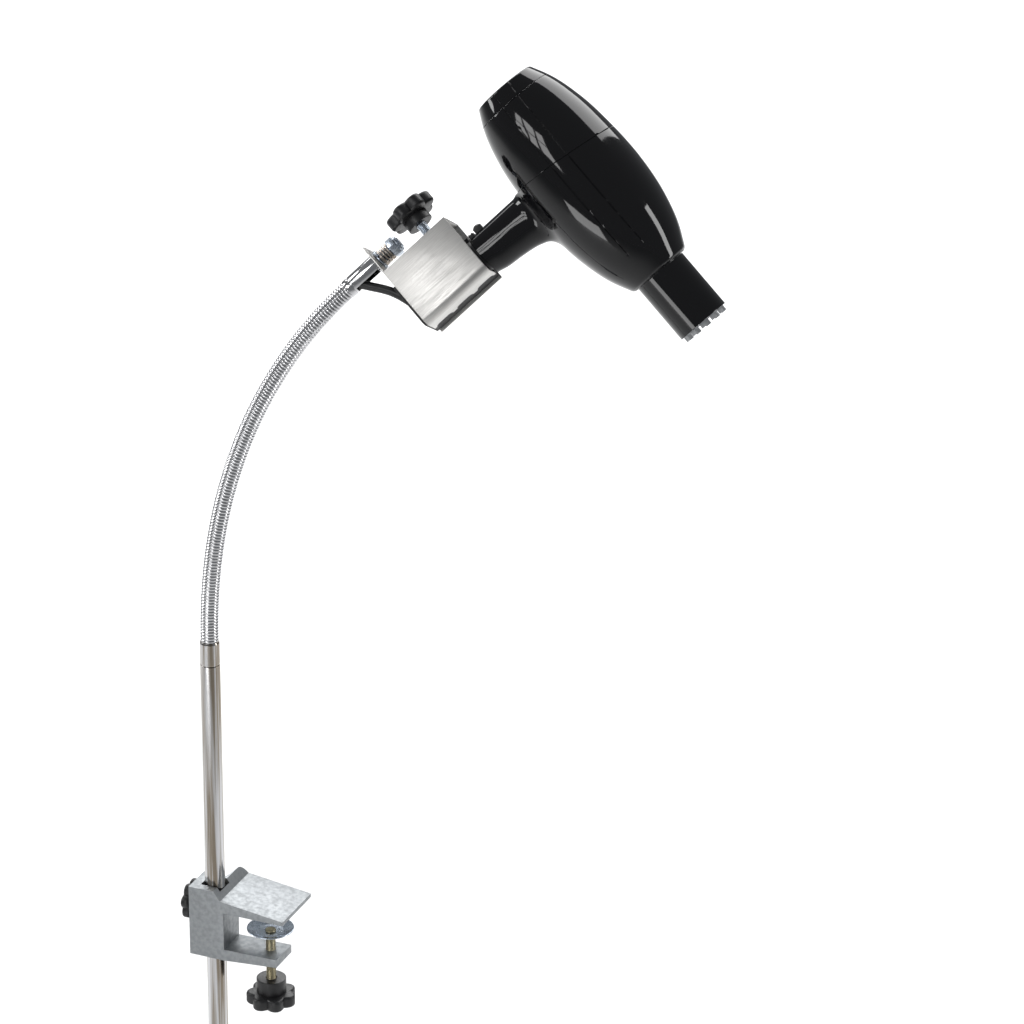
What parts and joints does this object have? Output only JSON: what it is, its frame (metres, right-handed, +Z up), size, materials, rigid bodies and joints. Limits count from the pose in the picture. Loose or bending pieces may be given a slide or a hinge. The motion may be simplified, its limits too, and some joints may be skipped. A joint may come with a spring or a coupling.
{
  "type": "pet dryer",
  "caption": "Clamp-mounted pet dryer: gloss-black hand-held hot-air dryer held in a sheet-steel holder on a bendable metal neck and chromed pole above a cast table clamp.",
  "frame": {"origin": "On the flat underside of the clamp's upper jaw, on the clamp screw's axis", "axes": "+Z up along the pole, +X along the jaws away from the pole towards the table, +Y to the back of the upper jaw"},
  "size_m": [0.4677, 0.191, 1.0933],
  "materials": {
    "cast_aluminium": "rough sand-cast, unmachined",
    "zinc_yellow": "yellow zinc-plated steel",
    "zinc_blue": "blue zinc-plated steel",
    "knob_plastic": "moulded phenolic, satin black",
    "brass": "turned brass",
    "chrome": "bright chrome-plated steel",
    "hose_steel": "ringed metal hose, bright",
    "spring_steel": "bare spring wire",
    "brushed_sheet": "stainless sheet, fine brushed",
    "black_rubber": "soft black rubber",
    "cord_black": "round black mains cord and moulded plug",
    "plug_metal": "nickel-plated plug blades",
    "gloss_black": "glossy black moulding",
    "crown_grey": "grey heat-resistant moulding",
    "matte_black": "satin black moulding",
    "mica": "mica board",
    "heater_wire": "resistance wire",
    "motor_steel": "plated steel",
    "wire_white": "insulated wire"
  },
  "bodies": {
    "clamp": {"clamp_frame": "cast_aluminium"},
    "clamp_pad": {"clamp_pad": "zinc_blue"},
    "clamp_screw": {"clamp_screw": "zinc_yellow", "clamp_knob": "knob_plastic"},
    "pole_screw_tip": {"pole_screw_tip": "brass"},
    "pole_screw": {"pole_screw": "zinc_yellow", "pole_screw_knob": "knob_plastic"},
    "pole_foot": {"pole_end_bush": "black_rubber", "supply_lead": "cord_black", "supply_coil": "cord_black", "supply_tail": "cord_black", "cord_tie": "cord_black", "plug_body": "cord_black", "plug_pins": "plug_metal"},
    "pole": {"pole_tube": "chrome", "neck_collar": "chrome"},
    "neck_01": {"neck_link_01": "hose_steel"},
    "neck_02": {"neck_link_02": "hose_steel"},
    "neck_03": {"neck_link_03": "hose_steel"},
    "neck_04": {"neck_link_04": "hose_steel"},
    "neck_05": {"neck_link_05": "hose_steel"},
    "neck_06": {"neck_link_06": "hose_steel"},
    "neck_07": {"neck_link_07": "hose_steel"},
    "neck_08": {"neck_link_08": "hose_steel"},
    "neck_09": {"neck_link_09": "hose_steel"},
    "neck_end": {"neck_link_10": "hose_steel", "end_ferrule": "chrome", "pivot_stem": "zinc_blue", "friction_washer": "zinc_blue", "pivot_spring": "spring_steel", "pivot_nut": "zinc_blue"},
    "holder": {"holder_bracket": "brushed_sheet", "holder_cover": "brushed_sheet", "holder_liner": "black_rubber", "holder_weld_nut": "zinc_blue"},
    "holder_pad": {"holder_pad": "zinc_blue"},
    "holder_screw": {"holder_screw": "zinc_blue", "holder_knob": "knob_plastic"},
    "dryer": {"housing_left": "gloss_black", "housing_right": "gloss_black", "rear_housing": "gloss_black", "spigot_tube": "gloss_black", "outlet_crown": "crown_grey", "heat_tube": "mica", "heater_former": "mica", "heater_coil": "heater_wire", "thermal_cutout": "motor_steel", "motor_mount": "matte_black", "motor_case": "motor_steel", "switch_block": "matte_black", "handle_collar": "matte_black", "cord_relief": "black_rubber", "lead_wires": "wire_white", "housing_screw": "motor_steel", "dryer_cord": "cord_black"},
    "rear_cap": {"rear_cap": "gloss_black", "inlet_filter": "matte_black"},
    "fan": {"fan_rotor": "matte_black"},
    "cool_button": {"cool_button": "matte_black"},
    "speed_rocker": {"rocker_switch": "matte_black"}
  },
  "joints": [
    {"name": "clamp_pad_travel", "type": "slide", "parent": "clamp", "child": "clamp_pad", "axis": [0, 0, 1], "range_m": [-0.0143, 0.0121]},
    {"name": "clamp_screw_turn", "type": "hinge", "parent": "clamp_pad", "child": "clamp_screw", "pos_m": [0, 0, -0.0585], "axis": [0, 0, 1], "range_deg": [-4119, 3485]},
    {"name": "pole_screw_travel", "type": "slide", "parent": "clamp", "child": "pole_screw_tip", "axis": [1, 0, 0], "range_m": [-0.004, 0]},
    {"name": "pole_screw_turn", "type": "hinge", "parent": "pole_screw_tip", "child": "pole_screw", "pos_m": [-0.0645, 0, -0.002], "axis": [1, 0, 0], "range_deg": [-1441, 0.01]},
    {"name": "pole_height", "type": "slide", "parent": "clamp", "child": "pole_foot", "axis": [0, 0, 1], "range_m": [-0.19, 0.09]},
    {"name": "pole_turn", "type": "hinge", "parent": "pole_foot", "child": "pole", "pos_m": [-0.0486, 0, -0.157], "axis": [0, 0, 1], "range_deg": [-180, 180]},
    {"name": "neck_bend_1", "type": "hinge", "parent": "pole", "child": "neck_01", "pos_m": [-0.0486, 0, 0.232], "axis": [-0.5519, 0.8339, 0], "range_deg": [-9.6, 12]},
    {"name": "neck_sway_1", "type": "hinge", "parent": "neck_01", "child": "neck_02", "pos_m": [-0.04789, 0.00047, 0.26372], "axis": [0.8327, 0.5511, -0.0536], "range_deg": [-12, 12]},
    {"name": "neck_bend_2", "type": "hinge", "parent": "neck_02", "child": "neck_03", "pos_m": [-0.04565, 0.00196, 0.29535], "axis": [-0.5519, 0.8339, 0], "range_deg": [-9.6, 12]},
    {"name": "neck_sway_2", "type": "hinge", "parent": "neck_03", "child": "neck_04", "pos_m": [-0.04165, 0.0046, 0.32671], "axis": [0.8194, 0.5423, -0.1857], "range_deg": [-12, 12]},
    {"name": "neck_bend_3", "type": "hinge", "parent": "neck_04", "child": "neck_05", "pos_m": [-0.03573, 0.00852, 0.35764], "axis": [-0.5519, 0.8339, 0], "range_deg": [-9.6, 12]},
    {"name": "neck_sway_3", "type": "hinge", "parent": "neck_05", "child": "neck_06", "pos_m": [-0.02774, 0.01381, 0.38789], "axis": [0.7836, 0.5187, -0.342], "range_deg": [-12, 12]},
    {"name": "neck_bend_4", "type": "hinge", "parent": "neck_06", "child": "neck_07", "pos_m": [-0.01758, 0.02053, 0.41719], "axis": [-0.5519, 0.8339, 0], "range_deg": [-9.6, 12]},
    {"name": "neck_sway_4", "type": "hinge", "parent": "neck_07", "child": "neck_08", "pos_m": [-0.00521, 0.02872, 0.44524], "axis": [0.7179, 0.4752, -0.5087], "range_deg": [-12, 12]},
    {"name": "neck_bend_5", "type": "hinge", "parent": "neck_08", "child": "neck_09", "pos_m": [0.00935, 0.03836, 0.47173], "axis": [-0.5519, 0.8339, 0], "range_deg": [-9.6, 12]},
    {"name": "neck_sway_5", "type": "hinge", "parent": "neck_09", "child": "neck_end", "pos_m": [0.02605, 0.04941, 0.49633], "axis": [0.6192, 0.4099, -0.6698], "range_deg": [-12, 12]},
    {"name": "holder_swivel", "type": "hinge", "parent": "neck_end", "child": "holder", "pos_m": [0.0641, 0.07459, 0.53963], "axis": [0.6197, 0.4102, 0.6691], "range_deg": [-90, 90], "deforming": ["dryer_cord"]},
    {"name": "holder_pad_travel", "type": "slide", "parent": "holder", "child": "holder_pad", "axis": [0.7812, -0.2408, -0.5759], "range_m": [-0.011, 0]},
    {"name": "holder_screw_turn", "type": "hinge", "parent": "holder_pad", "child": "holder_screw", "pos_m": [0.0921, 0.09199, 0.56774], "axis": [0.7812, -0.2408, -0.5759], "range_deg": [-3168, 0.01]},
    {"name": "dryer_slide", "type": "slide", "parent": "holder", "child": "dryer", "axis": [0.6197, 0.4102, 0.6691], "range_m": [0, 0.015], "deforming": ["dryer_cord"]},
    {"name": "rear_cap_twist", "type": "hinge", "parent": "dryer", "child": "rear_cap", "pos_m": [0.15299, 0.13009, 0.66257], "axis": [0.7294, -0.0484, -0.6824], "range_deg": [0, 25]},
    {"name": "fan_spin", "type": "hinge", "parent": "dryer", "child": "fan", "pos_m": [0.1748, 0.12864, 0.64217], "axis": [0.7294, -0.0484, -0.6824], "continuous": true},
    {"name": "cool_button_push", "type": "slide", "parent": "dryer", "child": "cool_button", "axis": [0.7448, -0.0384, -0.6662], "range_m": [0, 0.002], "stiffness_N_per_m": 700, "springref_m": -0.001},
    {"name": "speed_rocker_tilt", "type": "hinge", "parent": "dryer", "child": "speed_rocker", "pos_m": [0.13592, 0.09016, 0.56491], "axis": [0.2476, -0.9112, 0.3293], "range_deg": [-5, 5]}
  ],
  "couplings": [
    {"joint": "clamp_screw_turn", "follows": "clamp_pad_travel", "rad_per_m": 5026.5},
    {"joint": "pole_screw_turn", "follows": "pole_screw_travel", "rad_per_m": 6283.2},
    {"joint": "holder_screw_turn", "follows": "holder_pad_travel", "rad_per_m": 5026.5}
  ]
}
